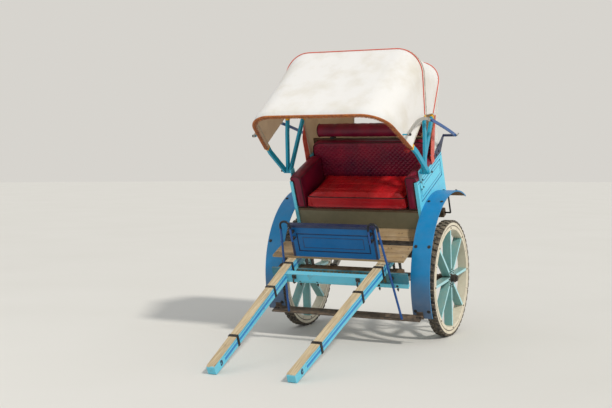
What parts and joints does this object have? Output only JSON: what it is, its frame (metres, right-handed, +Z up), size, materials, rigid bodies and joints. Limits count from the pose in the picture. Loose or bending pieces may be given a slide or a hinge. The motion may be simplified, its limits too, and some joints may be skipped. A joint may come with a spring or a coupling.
{
  "type": "two-wheeled horse cart with a folding hood",
  "caption": "Two-wheeled horse-drawn carriage with shafts, quilted bench seat, mudguards and folding canvas hood, parked on its shaft tips.",
  "frame": {"origin": "middle of the footprint on the floor under the parked cart", "axes": "+Z up, the front towards -Y, the cart's left side towards +X"},
  "size_m": [1.65, 2.9968, 2.5988],
  "materials": {
    "teal_timber": "light blue paint on timber, worn",
    "blue_paint": "mid blue gloss paint, dusty",
    "deep_blue": "mid blue paint on a framed panel",
    "iron": "dark rusty iron",
    "raw_wood": "bare weathered boards",
    "red_vinyl": "burgundy vinyl",
    "canvas": "white canvas",
    "tyre": "black dusty rubber",
    "rim_white": "cream white paint",
    "spoke_blue": "pale blue paint, worn"
  },
  "bodies": {
    "carriage": {"axle": "iron", "axle_nuts": "iron", "leaf_springs": "iron", "spring_clamps": "iron", "spring_hangers": "iron", "shafts": "teal_timber", "shaft_bands": "iron", "crossbar": "teal_timber", "trace_hooks": "iron", "cross_bearers": "teal_timber", "floor_boards": "raw_wood", "front_fascia": "teal_timber", "dash_panel": "deep_blue", "grab_rods": "blue_paint", "grab_rod_clips": "iron", "step_bar": "iron", "mudguards": "blue_paint", "mudguard_stays": "iron", "side_panels": "teal_timber", "rear_panel": "teal_timber", "body_rail": "teal_timber", "seat_front": "raw_wood", "seat_deck": "raw_wood", "seat_cushion": "red_vinyl", "backrest_cushion": "red_vinyl", "back_board": "raw_wood", "armrests": "red_vinyl", "back_roll": "red_vinyl", "roll_brackets": "iron", "hood_plates": "iron", "stay_arms": "blue_paint"},
    "wheel_left": {"tyre_left": "tyre", "rim_left": "rim_white", "spokes_left": "spoke_blue", "hub_left": "iron"},
    "wheel_right": {"tyre_right": "tyre", "rim_right": "rim_white", "spokes_right": "spoke_blue", "hub_right": "iron"},
    "hood_rear_bow": {"bow_rear": "teal_timber", "hood_curtain": "canvas"},
    "hood_middle_bow": {"bow_middle": "teal_timber", "hood_cloth_rear": "canvas"},
    "hood_front_bow": {"bow_front": "teal_timber", "hood_cloth_front": "canvas"},
    "hood_stays_upper": {"stays_upper": "blue_paint"},
    "hood_stays_lower": {"stays_lower": "blue_paint"}
  },
  "joints": [
    {"name": "wheel_left_turn", "type": "hinge", "parent": "carriage", "child": "wheel_left", "pos_m": [0.727, 0.96367, 0.535], "axis": [1, 0, 0], "continuous": true},
    {"name": "wheel_right_turn", "type": "hinge", "parent": "carriage", "child": "wheel_right", "pos_m": [-0.727, 0.96367, 0.535], "axis": [1, 0, 0], "continuous": true},
    {"name": "hood_fold", "type": "hinge", "parent": "carriage", "child": "hood_rear_bow", "pos_m": [0, 0.47103, 1.52035], "axis": [-1, 0, 0], "range_deg": [0, 31], "deforming": ["hood_curtain"]},
    {"name": "middle_bow_fold", "type": "hinge", "parent": "hood_rear_bow", "child": "hood_middle_bow", "pos_m": [0, 0.47103, 1.52035], "axis": [-1, 0, 0], "range_deg": [0, 23], "deforming": ["hood_cloth_rear"]},
    {"name": "front_bow_fold", "type": "hinge", "parent": "hood_middle_bow", "child": "hood_front_bow", "pos_m": [0, 0.47103, 1.52035], "axis": [-1, 0, 0], "range_deg": [0, 49], "deforming": ["hood_cloth_front"]},
    {"name": "upper_stay_turn", "type": "hinge", "parent": "hood_front_bow", "child": "hood_stays_upper", "pos_m": [0, -0.08568, 1.83607], "axis": [-1, 0, 0], "range_deg": [-166.81, 0]},
    {"name": "lower_stay_turn", "type": "hinge", "parent": "carriage", "child": "hood_stays_lower", "pos_m": [0, 1.11211, 1.85173], "axis": [-1, 0, 0], "range_deg": [0, 71.88]}
  ],
  "couplings": [
    {"joint": "middle_bow_fold", "follows": "hood_fold", "ratio": 0.74194},
    {"joint": "front_bow_fold", "follows": "hood_fold", "ratio": 1.5806},
    {"joint": "upper_stay_turn", "follows": "hood_fold", "ratio": -5.3809},
    {"joint": "lower_stay_turn", "follows": "hood_fold", "ratio": 2.3187}
  ]
}
